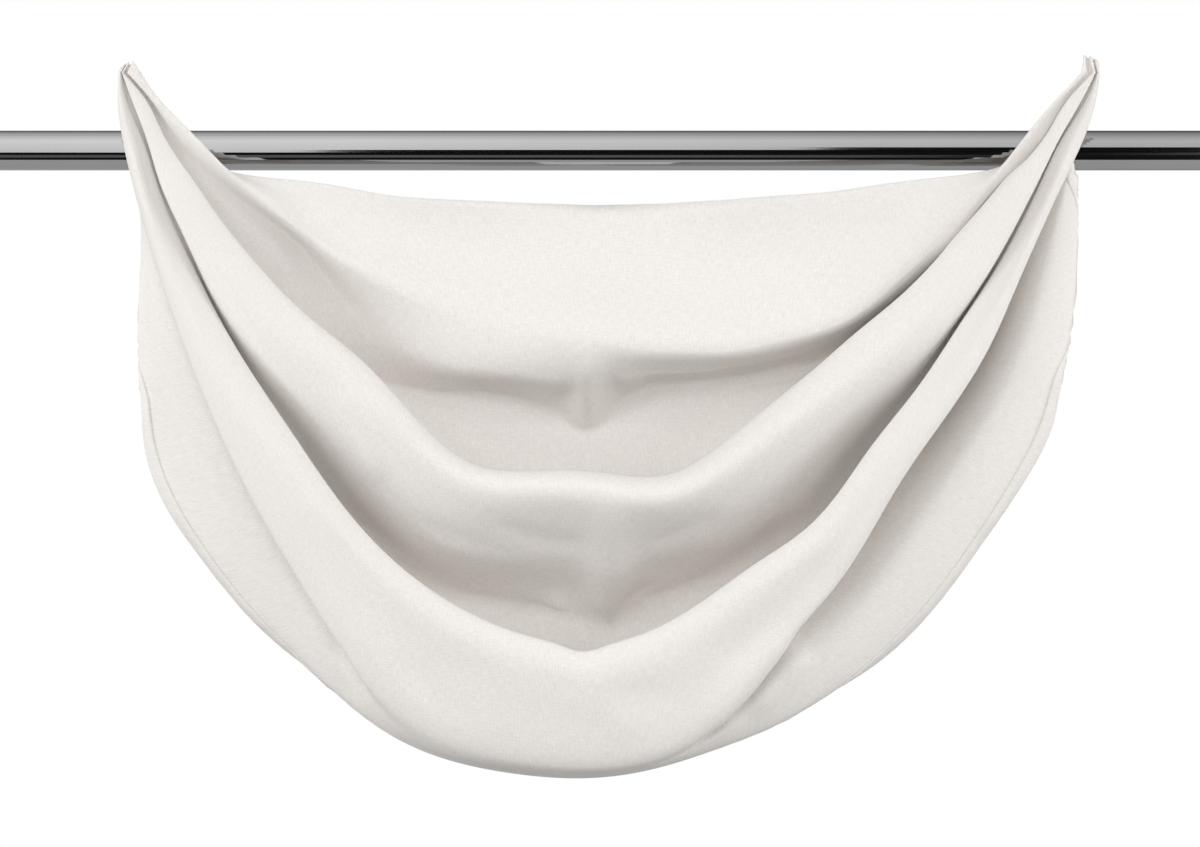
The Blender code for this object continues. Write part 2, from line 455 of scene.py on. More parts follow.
@dataclass
class SwagCloth:
    """The swag's one sheet. Its tables are in millimetres, as polar sections about the gather
    centre, the point midway between the two tips, from the left tip round to the right one."""

    MAP = "cloth"
    NAME = "swag_cloth"

    thickness: float = 0.8
    rod_radius: float = 20.0
    seat_gap: float = 0.4
    seat_half_height: float = 13.0
    seat_slope: float = 0.7
    centre_height: float = 76.5
    sections: int = 268
    crowding: float = 0.25
    curve_steps: int = 24
    tip_steps: int = 9
    tip_wave: float = 2.0
    tip_waves: float = 3.5
    corner_from: float = 164.8
    corner_rise: float = 2.6
    corner_to: float = 168.3
    corner_fall: float = 0.5
    corner_side: float = 2.0
    corner_hem: float = 11.0
    fold_fade: int = 3
    hem_width: float = 17.0
    hem_share: float = 0.2
    seam_sink: float = -0.5
    ripple_row: int = 3
    ripple_rows: int = 7
    plain_share: float = 0.5
    solid_offset: float = -0.6
    flat_size: tuple[float, float] = (1.95, 0.985)
    flat_area: float = 0.92

    # How far each line lies from the gather centre, at each angle in degrees.
    REACH_COLUMNS = (
        "angle", "top_edge", "ridge_1", "crease_1", "lip_2", "crease_2", "lip_3",
        "fold_4", "tuck", "side", "hem",
    )
    REACH = (
        (0, 469, 467, 481, 483.5, 485, 486, 488.3, 487, 486.5, 484),
        (3, 458, 451, 461, 464, 476, 482, 490, 487, 487, 476),
        (8, 428, 421, 445, 448, 464, 470, 489, 485, 486, 474),
        (14, 398, 393, 424, 429, 458, 463.5, 487, 481, 485, 465),
        (20, 318, 369, 400, 415, 453, 459, 488, 480, 497, 474),
        (28, 257.5, 344, 372, 400, 454, 457, 495, 485, 533, 507),
        (38, 205.5, 320, 386, 387, 461, 462.5, 514, 502, 583, 590),
        (50, 168, 295, 389, 378, 481, 480, 553, 540, 626, 634),
        (62, 147.5, 278, 365, 397, 522, 517, 612, 600, 661, 665),
        (72, 137.5, 271, 344, 413, 548, 547, 673, 683, 697, 673),
        (82, 133, 268, 342, 401, 541, 567, 692, 700, 706, 676),
        (90, 131.5, 269, 343, 400, 540, 569, 692, 699, 703, 674),
        (98, 132.5, 279, 329, 406, 526, 545, 669, 672, 688, 664),
        (106, 136, 289, 335, 391, 527, 514, 606, 596, 671, 660),
        (114, 142.5, 304, 340, 373, 505, 495, 560, 549, 645, 652),
        (124, 155, 320, 358, 362, 463, 460, 508, 497, 611, 619),
        (134, 176, 344, 364, 360, 444, 442, 482, 471, 582, 589),
        (144, 209, 357, 375, 370, 433, 433, 469.5, 459, 556, 559),
        (152, 253, 371, 385, 381, 432, 434.5, 461, 452, 530, 508),
        (161, 328, 390, 400, 402, 436.5, 441.5, 462, 455, 500, 478),
        (167, 409, 407, 420, 423, 445, 449.5, 470, 464, 483, 474),
        (172, 430, 426, 442, 444, 457, 461, 481, 474, 472, 464),
        (177, 459, 453, 461, 464, 476, 481, 490, 484, 482, 474),
        (180, 478, 475, 481, 486.5, 488.5, 490.5, 493, 490, 488, 482),
    )
    # Where a line dips to a point: the angle, and the dip's width in degrees and depth.
    DIPS = (
        ("crease_1", 86.5, 3.0, 15.5),
        ("crease_2", 90.3, 2.6, 23.0),
        ("lip_3", 87.6, 2.2, 7.0),
    )
    # The angles of the columns in the tables below, and how far some lines lie beyond a lip.
    STATIONS = (0, 10, 35, 62, 90, 118, 145, 170, 180)
    BEYOND_LIP = {
        "pocket_1": ("lip_2", (0.4, 3, 14, 30, 40, 30, 14, 3, 0.4)),
        "nose_2": ("lip_2", (0.6, 4, 13, 17, 20, 28, 30, 4, 0.6)),
        "pocket_2": ("lip_3", (-1, -1, 2, 20, 46, 20, 4, -1, -1)),
        "nose_3": ("lip_3", (1.0, 7, 11, 16, 19, 16, 11, 7, 1.0)),
    }
    # How far each of these lines lies from the line above it to the line below it.
    UNDER_1_SHARE = (0.85, 0.6, 0.38, 0.62, 0.52, 0.5, 0.6, 0.6, 0.6)
    UNDER_2_SHARE = (1.0, 1.06, 0.8, 0.64, 0.52, 0.6, 0.78, 1.06, 1.0)
    PANEL_4_SHARE = (0.5, 0.5, 0.5, 0.5, 0.5, 0.48, 0.42, 0.5, 0.5)
    # How far each line stands out in front of the rod's axis.
    DEPTH = {
        "top_edge": (30, 29, 32, 22, 12, 22, 32, 29, 30),
        "panel_1": (32, 34, 31, 31, 35, 31, 31, 34, 32),
        "ridge_1": (45, 45, 55, 60, 74, 69, 51, 44, 42),
        "under_1": (45, 41, 15, 46, 42, 28, 36, 43, 41),
        "crease_1": (38, 36, 19, -2, -10, -8, 6, 41, 39),
        "pocket_1": (38, 35, 24, 22, 28, 20, 18, 37, 38),
        "lip_2": (41, 52, 66, 76, 80, 76, 66, 52, 43),
        "nose_2": (43, 55, 75, 95, 106, 99, 77, 55, 43),
        "under_2": (44, 56, 74, 54, 48, 46, 70, 56, 44),
        "crease_2": (38, 38, 54, -4, -10, -10, 44, 38, 38),
        "pocket_2": (39, 41, 46, 14, 22, 12, 42, 41, 39),
        "lip_3": (41, 46, 70, 97, 102, 97, 70, 46, 41),
        "nose_3": (43, 50, 81, 109, 115, 108, 79, 50, 43),
        "face_3": (43, 54, 84, 104, 108, 106, 88, 54, 43),
        "fold_4": (39, 44, 66, 88, 94, 100, 86, 50, 39),
        "tuck": (32, 38, 50, 64, 78, 17, -13, 30, 32),
        "panel_4": (29, 30, 38, 54, 68, 50, 38, 28, 29),
        "side": (26, 22, 28, 36, 44, 34, 26, 22, 26),
        "hem": (24, 20, 20, 20, 20, 20, 20, 20, 24),
    }
    # How sharply the sheet turns at its creases, from 0, rounded, to 1, folded.
    KINKS = {
        "ridge_1": (0.3, 0.5, 0.6, 0.3, 0.0, 0.0, 0.2, 0.3, 0.3),
        "under_1": (0.3, 0.3, 0.8, 0.2, 0.0, 0.2, 0.3, 0.3, 0.3),
        "crease_1": (0.8, 0.8, 0.7, 0.85, 0.85, 0.85, 0.8, 0.8, 0.8),
        "lip_2": (0.3, 0.4, 0.4, 0.5, 0.5, 0.5, 0.4, 0.4, 0.3),
        "under_2": (0.3, 0.4, 0.6, 0.4, 0.2, 0.2, 0.4, 0.4, 0.3),
        "crease_2": (0.8, 0.8, 0.8, 0.85, 0.85, 0.85, 0.8, 0.8, 0.8),
        "lip_3": (0.3, 0.4, 0.4, 0.5, 0.5, 0.5, 0.4, 0.4, 0.3),
        "fold_4": (0.3, 0.5, 0.6, 0.4, 0.0, 0.4, 0.5, 0.4, 0.3),
        "tuck": (0.3, 0.4, 0.4, 0.2, 0.0, 0.8, 0.9, 0.7, 0.3),
    }
    # Rows of mesh from each line to the next; panel_4 runs straight on to the hem's seam.
    ROWS = (6, 6, 9, 14, 14, 5, 6, 12, 18, 8, 5, 7, 8, 8, 6, 10, 10)
    # The seam and the hem below it, as distances from the sheet's edge over the hem's width.
    HEM_ROWS = (1.0, 0.965, 0.85, 0.6, 0.35, 0.15, 0.04, 0.0)
    # How far each of the hem's rows swells out over what is turned up inside it.
    HEM_FILL = (0.0, 0.35, 0.6, 0.6, 0.35, 0.1, 0.0)
    # The hem's ripples: height, run and start of the wave, then run and start of its swell.
    RIPPLES = (
        (0.30, 4.1, 0.0, 31.0, 0.7),
        (0.35, 9.7, 1.1, 57.0, math.pi / 2),
        (0.80, 23.0, 2.0, 83.0, 0.4),
    )
    # Where the sheet ends past each tip: X and Z for the left end, then for the right one.
    TIP_ENDS = {
        "top_edge": (-471.4, 80.5, 478.0, 88.0),
        "panel_1": (-472.5, 84.5, 477.0, 91.0),
        "ridge_1": (-474.0, 88.0, 477.5, 94.2),
        "under_1": (-475.5, 86.5, 479.5, 93.6),
        "crease_1": (-477.0, 84.5, 481.0, 91.5),
        "pocket_1": (-478.0, 85.0, 482.0, 91.2),
        "lip_2": (-478.8, 87.3, 483.4, 93.2),
        "nose_2": (-479.6, 86.8, 484.6, 92.6),
        "under_2": (-480.4, 85.4, 485.8, 91.6),
        "crease_2": (-481.2, 84.4, 487.0, 90.2),
        "pocket_2": (-481.8, 84.4, 487.8, 89.6),
        "lip_3": (-482.6, 85.6, 488.6, 90.6),
        "nose_3": (-483.4, 85.0, 489.6, 89.8),
        "face_3": (-484.6, 83.4, 490.8, 88.6),
        "fold_4": (-486.2, 81.0, 492.4, 86.4),
        "tuck": (-485.2, 80.6, 491.2, 85.6),
        "panel_4": (-484.2, 80.4, 490.2, 85.4),
        "side": (-483.2, 80.2, 489.2, 85.2),
        "hem": (-481.5, 80.0, 486.5, 85.0),
    }
    # Between which lines a fold lies, its half width and height, its sharpness, and its path
    # in X and Z.
    FOLDS = (
        SoftFold("under_1", "pocket_1", 9, -7, 1.4, (
            (-22, -284.5), (-7, -271.5), (10, -258.5), (43, -240.5), (98, -236.5), (150, -229.5),
            (208, -214.5), (243, -204.5),
        )),
        SoftFold("under_1", "pocket_1", 9, -6, 1.4, (
            (-22, -284.5), (-37, -282.5), (-59, -270.5), (-81, -260.5), (-107, -249.5),
            (-137, -247.5), (-167, -250.5), (-202, -241.5), (-231, -234.5),
        )),
        SoftFold("nose_2", "pocket_2", 18, -12, 2, (
            (-12, -494), (33, -478), (73, -456), (113, -436), (160, -406), (215, -358),
        )),
        SoftFold("ridge_1", "pocket_1", 14, -5, 2, (
            (-54, -238), (-26, -246), (2, -242), (24, -231),
        )),
        SoftFold("nose_2", "pocket_2", 16, -6, 2, (
            (-282, -342), (-245, -384), (-202, -424), (-152, -452), (-95, -463), (-48, -467),
        )),
        SoftFold("nose_2", "crease_2", 14, 4, 2, (
            (-267, -229.5), (-247, -269.5), (-235, -306.5), (-227, -341.5),
        )),
        SoftFold("under_2", "pocket_2", 10, 5, 2, (
            (-59, -445.5), (-47, -463.5), (-35, -483.5),
        )),
        SoftFold("under_2", "pocket_2", 6, -4, 1.4, (
            (-107, -469.5), (-77, -462.5), (-51, -456.5),
        )),
        SoftFold("under_2", "pocket_2", 7, -5, 1.4, (
            (0, -486), (12, -468), (27, -449), (52, -434),
        )),
        SoftFold("nose_2", "under_2", 9, -2.5, 2, (
            (-197, -368), (-139, -396), (-92, -426),
        )),
        SoftFold("nose_2", "under_2", 8, -2, 2, (
            (-120, -372), (-60, -392), (-8, -397),
        )),
        SoftFold("nose_2", "under_2", 9, -2.2, 2, (
            (36, -412), (74, -382), (118, -362),
        )),
        SoftFold("nose_3", "fold_4", 14, -2, 2, (
            (-214, -505), (-168, -548), (-122, -572),
        )),
        SoftFold("nose_3", "fold_4", 15, -1.6, 2, (
            (-60, -520), (10, -545), (78, -541),
        )),
        SoftFold("under_2", "pocket_2", 6, -5, 1.4, (
            (-19, -459.5), (-7, -475.5), (3, -489.5),
        )),
        SoftFold("crease_2", "pocket_2", 4, -2, 1.4, (
            (-51, -494.5), (-7, -496.5), (35, -489.5),
        )),
        SoftFold("face_3", "side", 15, 4, 2, (
            (199, -479.5), (150, -518.5), (117, -563.5), (105, -593.5),
        )),
        SoftFold("face_3", "side", 12, 6, 2, (
            (205, -499.5), (168, -533.5), (141, -567.5),
        )),
        SoftFold("face_3", "side", 8, -3, 2, (
            (-281, -483.5), (-264, -514.5), (-254, -557.5),
        )),
        SoftFold("top_edge", "under_1", 11, -6, 2, (
            (-331, -44), (-308, -64), (-288, -83), (-254, -95), (-230, -110),
        )),
        SoftFold("ridge_1", "lip_2", 9, 6, 2, (
            (428, -4.5), (378, -64.5), (323, -124.5),
        )),
        SoftFold("top_edge", "ridge_1", 18, -3.5, 2, (
            (193, -151.5), (223, -119.5), (263, -86.5), (298, -56.5),
        )),
        SoftFold("top_edge", "ridge_1", 18, -3, 2, (
            (-345, -63.5), (-307, -85.5), (-257, -101.5),
        )),
        SoftFold("lip_2", "under_2", 8, -1.5, 2, (
            (-442, -46.5), (-392, -126.5), (-337, -201.5), (-277, -276.5),
        )),
        SoftFold("lip_2", "under_2", 8, -1.5, 2, (
            (403, -56.5), (353, -136.5), (293, -213.5), (243, -271.5),
        )),
        SoftFold("nose_3", "fold_4", 25, -3, 2, (
            (-307, -351.5), (-247, -441.5), (-177, -506.5), (-87, -551.5),
        )),
        SoftFold("nose_3", "fold_4", 22, -3, 2, (
            (243, -396.5), (168, -471.5), (93, -523.5),
        )),
        SoftFold("nose_3", "fold_4", 16, 2.5, 2, (
            (-22, -509.5), (-7, -541.5), (33, -593.5),
        )),
    )

    def angles(self) -> np.ndarray:
        """Space the sections.

        Returns:
            The sections' angles in degrees, closer together at the tips.
        """
        share = np.linspace(0.0, 1.0, self.sections)
        share = share - self.crowding * np.sin(2 * math.pi * share) / (2 * math.pi)
        return self.REACH[0][0] + (self.REACH[-1][0] - self.REACH[0][0]) * share

    def lines(self, angles: np.ndarray) -> np.ndarray:
        """Work out the fold lines.

        Args:
            angles: the sections' angles in degrees.

        Returns:
            Sections by lines by reach and depth, in millimetres.
        """
        columns = dict(zip(self.REACH_COLUMNS, np.array(self.REACH, float).T))
        knots = columns.pop("angle")
        reach = {name: smooth_through(knots, column, angles) for name, column in columns.items()}
        reach["top_edge"] = 1 / smooth_through(knots, 1 / columns["top_edge"], angles)
        for name, centre, width, dip in self.DIPS:
            reach[name] = reach[name] + dip * bump(angles, centre, width)
        for name, (lip, beyond) in self.BEYOND_LIP.items():
            reach[name] = reach[lip] + smooth_through(self.STATIONS, beyond, angles)
        roll_1_face = reach["crease_1"] - reach["ridge_1"]
        share = smooth_through(self.STATIONS, self.UNDER_1_SHARE, angles)
        reach["under_1"] = reach["ridge_1"] + share * roll_1_face
        reach["panel_1"] = (reach["top_edge"] + reach["ridge_1"]) / 2
        share = smooth_through(self.STATIONS, self.UNDER_2_SHARE, angles)
        reach["under_2"] = reach["nose_2"] + share * (reach["crease_2"] - reach["nose_2"])
        reach["face_3"] = (reach["nose_3"] + reach["fold_4"]) / 2
        share = smooth_through(self.STATIONS, self.PANEL_4_SHARE, angles)
        reach["panel_4"] = reach["tuck"] + share * (reach["side"] - reach["tuck"])
        corner = (smooth_step((self.corner_to - angles) / self.corner_fall)
                  * smooth_step((angles - self.corner_from) / self.corner_rise))
        reach["side"] = reach["side"] + self.corner_side * corner
        reach["hem"] = reach["hem"] + self.corner_hem * corner
        depth = {
            name: -smooth_through(self.STATIONS, values, angles)
            for name, values in self.DEPTH.items()
        }
        return np.array([[reach[name], depth[name]] for name in self.DEPTH]).transpose(2, 0, 1)

    def curve_across(self, points: np.ndarray,
                     kinks: np.ndarray) -> tuple[np.ndarray, np.ndarray]:
        """Run a centripetal Catmull-Rom curve through each section's points.

        Args:
            points: sections by lines by coordinates.
            kinks: how sharply each section turns at each line.

        Returns:
            The curves' points, and how far along its curve each one lies.
        """
        first = 2 * points[:, :1] - points[:, 1:2]
        last = 2 * points[:, -1:] - points[:, -2:-1]
        points = np.concatenate([first, points, last], axis=1)
        gap = np.sqrt(np.linalg.norm(np.diff(points, axis=1), axis=2)) + 1e-6
        knot = np.concatenate([np.zeros((len(points), 1)), np.cumsum(gap, axis=1)], axis=1)
        curve = []
        for span in range(points.shape[1] - 3):
            near = [points[:, span + i] for i in range(4)]
            k = [knot[:, span + i, None] for i in range(4)]
            for part in range(self.curve_steps):
                share = part / self.curve_steps
                straight = kinks[:, span] * (1 - share) ** 2 + kinks[:, span + 1] * share**2
                t = k[1] + (k[2] - k[1]) * part / self.curve_steps
                a = [((k[i + 1] - t) * near[i] + (t - k[i]) * near[i + 1]) / (k[i + 1] - k[i])
                     for i in range(3)]
                b = [((k[i + 2] - t) * a[i] + (t - k[i]) * a[i + 1]) / (k[i + 2] - k[i])
                     for i in range(2)]
                round_way = ((k[2] - t) * b[0] + (t - k[1]) * b[1]) / (k[2] - k[1])
                chord = near[1] + (near[2] - near[1]) * share
                curve.append(round_way + (chord - round_way) * straight[:, None])
        curve.append(points[:, -2])
        curve = np.stack(curve, axis=1)
        steps = np.linalg.norm(np.diff(curve, axis=1), axis=2)
        run = np.concatenate([np.zeros((len(curve), 1)), np.cumsum(steps, axis=1)], axis=1)
        return curve, run

    def kinks(self, angles: np.ndarray) -> np.ndarray:
        """Work out how sharply the sheet turns at its lines.

        Args:
            angles: the sections' angles in degrees.

        Returns:
            Sections by fold lines, each from 0, rounded, to 1, folded.
        """
        rounded = (0.0,) * len(self.STATIONS)
        sharp = [np.interp(angles, self.STATIONS, self.KINKS.get(name, rounded))
                 for name in self.DEPTH]
        return np.stack(sharp, axis=1)

    def rows_across(self, points: np.ndarray, kinks: np.ndarray) -> np.ndarray:
        """Place the mesh's rows on each section.

        Args:
            points: sections by fold lines by coordinates.
            kinks: how sharply each section turns at each line.

        Returns:
            Sections by rows by coordinates.
        """
        curve, run = self.curve_across(points, kinks)
        placed = np.zeros((len(curve), self.row_count(), curve.shape[2]))
        for number, (section, length) in enumerate(zip(curve, run)):
            hem = min(self.hem_width, self.hem_share * length[-1])
            marks = list(length[::self.curve_steps][:len(self.ROWS)]) + [length[-1] - hem]
            spots = [
                np.linspace(near, far, steps, endpoint=False)
                for near, far, steps in zip(marks[:-1], marks[1:], self.ROWS)
            ]
            spots.append(length[-1] - hem * np.array(self.HEM_ROWS))
            spots = np.concatenate(spots)
            for axis in range(curve.shape[2]):
                placed[number, :, axis] = np.interp(spots, length, section[:, axis])
        return placed

    def row_count(self) -> int:
        """Return how many rows of points run along the sheet."""
        return sum(self.ROWS) + len(self.HEM_ROWS)

    def row_of(self, line: str) -> int:
        """Return the row that lies on a fold line, or nearest to it past panel_4."""
        order = list(self.DEPTH).index(line)
        return sum(self.ROWS[:order]) if order <= len(self.ROWS) - 1 else self.row_count() - 1

    def seam_row(self) -> int:
        """Return the row that the hem is sewn along."""
        return sum(self.ROWS)

    def against_rod(self, depth: np.ndarray, height: np.ndarray) -> np.ndarray:
        """Hold the sheet in front of the rod.

        Args:
            depth: the middle surface's Y, in millimetres.
            height: its Z, in millimetres.

        Returns:
            The Y that clears the rod.
        """
        seat = -(self.rod_radius + self.seat_gap + self.thickness / 2)
        fall_back = self.seat_slope * np.maximum(0.0, np.abs(height) - self.seat_half_height)
        return np.minimum(depth, seat + fall_back)

    def tip(self, lines: np.ndarray, side: int) -> np.ndarray:
        """Carry the fold lines past a tip to the sheet's end.

        Args:
            lines: the tip's own section, lines by X, Y and Z.
            side: 0 for the left end and 2 for the right one.

        Returns:
            Sections by lines by coordinates, from the tip outwards, without the tip itself.
        """
        end = np.array([
            (values[side], y, values[side + 1])
            for values, y in zip(self.TIP_ENDS.values(), lines[:, 1])
        ])
        spread = np.linspace(0.0, 1.0, len(end)) * 2 - 1
        wave = self.tip_wave * np.cos(self.tip_waves * math.pi * spread)
        end[:, 1] = end[:, 1].mean() + wave
        share = (np.arange(1, self.tip_steps + 1) / self.tip_steps)[:, None, None]
        return lines[None] * (1 - share) + end[None] * share

    def surface(self) -> np.ndarray:
        """Hang the sheet.

        Returns:
            Its middle surface, sections by rows by X, Y and Z in millimetres.
        """
        angles = self.angles()
        flat = self.lines(angles)
        turn = np.radians(angles)[:, None]
        solid = np.stack([
            -flat[:, :, 0] * np.cos(turn),
            flat[:, :, 1],
            self.centre_height - flat[:, :, 0] * np.sin(turn),
        ], axis=2)
        left = self.tip(solid[0], 0)[::-1]
        right = self.tip(solid[-1], 2)
        kinks = self.kinks(np.concatenate([[0.0] * len(left), angles, [180.0] * len(right)]))
        sheet = self.rows_across(np.concatenate([left, solid, right]), kinks)
        sheet = self.press_folds(sheet)
        sheet = self.pucker_hem(sheet)
        sheet[:, :, 1] = self.against_rod(sheet[:, :, 1], sheet[:, :, 2])
        return sheet

    @staticmethod
    def facing(sheet: np.ndarray) -> np.ndarray:
        """Find which way the cloth faces.

        Args:
            sheet: the middle surface.

        Returns:
            The unit direction out of the cloth's face at each point.
        """
        along = np.gradient(sheet, axis=0)
        across = np.gradient(sheet, axis=1)
        out = np.cross(across, along)
        return out / np.maximum(np.linalg.norm(out, axis=2, keepdims=True), 1e-9)

    def press_folds(self, sheet: np.ndarray) -> np.ndarray:
        """Press the soft folds into the sheet.

        Args:
            sheet: the middle surface in millimetres.

        Returns:
            The sheet with its folds.
        """
        out = self.facing(sheet)
        for fold in self.FOLDS:
            first, last = self.row_of(fold.first), self.row_of(fold.last)
            band = slice(first, last + 1)
            rows = np.arange(first, last + 1)
            fade = smooth_step((last - rows) / self.fold_fade)
            if first > 0:
                fade = smooth_step((rows - first) / self.fold_fade) * fade
            lift = fold.lift(sheet[:, band, 0], sheet[:, band, 2]) * fade[None, :]
            sheet[:, band] = sheet[:, band] + lift[:, :, None] * out[:, band]
        return sheet

    def pucker_hem(self, sheet: np.ndarray) -> np.ndarray:
        """Sink the seam, fill the hem and ripple its edge.

        Args:
            sheet: the middle surface in millimetres.

        Returns:
            The sheet with its hem.
        """
        out = self.facing(sheet)
        seam = self.seam_row()
        rows = np.arange(self.row_count())
        steps = np.linalg.norm(np.diff(sheet[:, seam], axis=0), axis=1)
        run = np.concatenate([[0.0], np.cumsum(steps)])[:, None]
        sink = np.where(rows == seam, self.seam_sink, 0.0)
        sink[seam + 1:] = self.HEM_FILL
        near = smooth_step(1 - np.abs(rows - seam - self.ripple_row) / self.ripple_rows)
        ripple = sum(
            height * np.sin(run / wave + start) * np.sin(run / swell + swell_start)
            for height, wave, start, swell, swell_start in self.RIPPLES
        )
        return sheet + (sink[None, :] + ripple * near[None, :])[:, :, None] * out

    def lengths(self, sheet: np.ndarray) -> tuple[np.ndarray, np.ndarray]:
        """Measure the cloth along and across.

        Args:
            sheet: the middle surface in millimetres.

        Returns:
            How far along the cloth and how far across it each point lies, in metres.
        """
        along = np.linalg.norm(np.diff(sheet, axis=0), axis=2)
        along = np.concatenate([np.zeros((1, sheet.shape[1])), np.cumsum(along, axis=0)])
        along = along - along[len(along) // 2][None, :]
        across = np.linalg.norm(np.diff(sheet, axis=1), axis=2)
        across = np.concatenate([np.zeros((len(sheet), 1)), np.cumsum(across, axis=1)], axis=1)
        return along * MM, across * MM

    def build(self) -> tuple[bpy.types.Object, np.ndarray]:
        """Make the sheet.

        Returns:
            The cloth, and its middle surface in metres for what is sewn to it.
        """
        sheet = self.surface()
        count, rows = sheet.shape[:2]
        mesh = bpy.data.meshes.new(self.NAME)
        faces = [
            (i * rows + j, i * rows + j + 1, (i + 1) * rows + j + 1, (i + 1) * rows + j)
            for i in range(count - 1)
            for j in range(rows - 1)
        ]
        mesh.from_pydata((sheet * MM).reshape(-1, 3).tolist(), [], faces)
        along, across = self.lengths(sheet)
        place = np.stack([along, across], axis=2).reshape(-1, 2)
        corners = np.array(faces).reshape(-1)
        chart = mesh.uv_layers.new(name=self.MAP)
        chart.data.foreach_set("uv", place[corners].reshape(-1).astype(np.float32))
        cloth = place_object(self.NAME, mesh)
        hem = cloth.vertex_groups.new(name="hem")
        first = self.seam_row() + 1
        hem.add([i * rows + j for i in range(count) for j in range(first, rows)], 1.0, "REPLACE")
        thicken = cloth.modifiers.new("thickness", "SOLIDIFY")
        thicken.thickness = 2 * self.thickness * MM
        thicken.vertex_group = "hem"
        thicken.thickness_vertex_group = self.plain_share
        thicken.offset = self.solid_offset
        apply_modifiers(cloth)
        mesh.shade_smooth()
        return cloth, sheet * MM

    def dress(self, cloth: bpy.types.Object, finish: CottonFinish,
              sewn: Sequence[bpy.types.Object]) -> None:
        """Args:
            cloth: the sheet.
            finish: its finish.
            sewn: the pieces that are sewn to it; not used.
        """
        cloth.data.materials.append(finish.build())
        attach(cloth, Rides.ROOT.value)
        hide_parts("swag")


@dataclass
class HemStitches:
    """One row of lockstitch that holds the turned hem, seen on both faces of the cloth."""

    NAME = "hem_stitches"

    length: float = 2.5
    pitch: float = 3.0
    thread: float = 0.42
    thread_sides: int = 6
    proud: float = 0.05
    dive: float = 0.5
    dive_power: int = 4
    end_gap: float = 6.0

    def one_stitch(self) -> tuple[np.ndarray, list[tuple[int, ...]]]:
        """Model one stitch along X, in millimetres.

        Returns:
            Its points and its faces.
        """
        deselect_all()
        bpy.ops.mesh.primitive_cylinder_add(
            vertices=self.thread_sides, radius=self.thread / 2, depth=self.length,
            end_fill_type="TRIFAN", rotation=(0.0, math.radians(90), 0.0),
        )
        stitch = bpy.context.object
        bpy.ops.object.transform_apply(location=True, rotation=True, scale=True)
        bpy.ops.object.mode_set(mode="EDIT")
        bpy.ops.mesh.select_all(action="SELECT")
        bpy.ops.mesh.bisect(plane_co=(0.0, 0.0, 0.0), plane_no=(1.0, 0.0, 0.0))
        bpy.ops.object.mode_set(mode="OBJECT")
        points = np.array([tuple(v.co) for v in stitch.data.vertices])
        # The ends dive into their needle holes.
        from_middle = 2 * np.abs(points[:, 0]) / self.length
        points[:, 2] -= self.dive * self.thread * from_middle**self.dive_power
        faces = [tuple(face.vertices) for face in stitch.data.polygons]
        bpy.data.objects.remove(stitch, do_unlink=True)
        return points, faces

    def build(self, sheet: np.ndarray, row: int, thickness: float) -> bpy.types.Object:
        """Sew the hem.

        Args:
            sheet: the cloth's middle surface in metres.
            row: the row that the seam follows.
            thickness: the cloth's thickness in millimetres.

        Returns:
            The stitches, as one piece.
        """
        out = SwagCloth.facing(sheet)[:, row]
        seam = sheet[:, row]
        steps = np.linalg.norm(np.diff(seam, axis=0), axis=1)
        run = np.concatenate([[0.0], np.cumsum(steps)])
        points, faces = self.one_stitch()
        places = np.arange(self.end_gap, run[-1] / MM - self.end_gap, self.pitch) * MM
        spot, ahead, face = (
            np.stack([np.interp(at, run, line[:, i]) for i in range(3)], axis=1)
            for at, line in ((places, seam), (places + MM, seam), (places, out))
        )
        way = ahead - spot
        way /= np.linalg.norm(way, axis=1, keepdims=True)
        face -= way * np.sum(face * way, axis=1, keepdims=True)
        face /= np.linalg.norm(face, axis=1, keepdims=True)
        aside = np.cross(face, way)
        verts, polygons = [], []
        half = thickness / 2
        for side, rise in ((1.0, half + self.proud), (-1.0, half + thickness + self.proud)):
            for here, x, y, z in zip(spot, way, aside, face):
                start = len(verts)
                basis = np.stack([x, y * side, z * side])
                verts.extend((here + (points @ basis + z * side * rise) * MM).tolist())
                polygons.extend(tuple(start + i for i in f) for f in faces)
        mesh = bpy.data.meshes.new(self.NAME)
        mesh.from_pydata(verts, [], polygons)
        mesh.shade_smooth()
        return place_object(self.NAME, mesh)

    def dress(self, stitches: bpy.types.Object, finish: ThreadFinish) -> None:
        """Give the stitches their thread and let them ride with the cloth.

        Args:
            stitches: the stitches.
            finish: the thread's finish.
        """
        stitches.data.materials.append(finish.build())
        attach(stitches, Rides.ROOT.value)


@dataclass
class CurtainRod:
    """The rod, whose solid is already its true shape."""

    node: str = "rod"

    def dress(self, finish: SteelFinish) -> bpy.types.Object:
        """Give the rod its finish.

        Args:
            finish: the steel's finish.

        Returns:
            The rod.
        """
        rod = bpy.data.objects[self.node]
        material = finish.build()
        for slot in rod.material_slots:
            slot.material = material
        return rod


# --------------------------------------------------------------------------- the studio


@dataclass(frozen=True)
class Card:
    """A dark card below and in front of the rod; its edges are in degrees from the horizon."""

    name: str
    left: tuple[float, float]
    right: tuple[float, float]


@dataclass(frozen=True)
class Softbox:
    """A soft light: where it hangs, its width and height in metres, and its power in watts."""

    name: str
    place: tuple[float, float, float]
    size: tuple[float, float]
    power: float


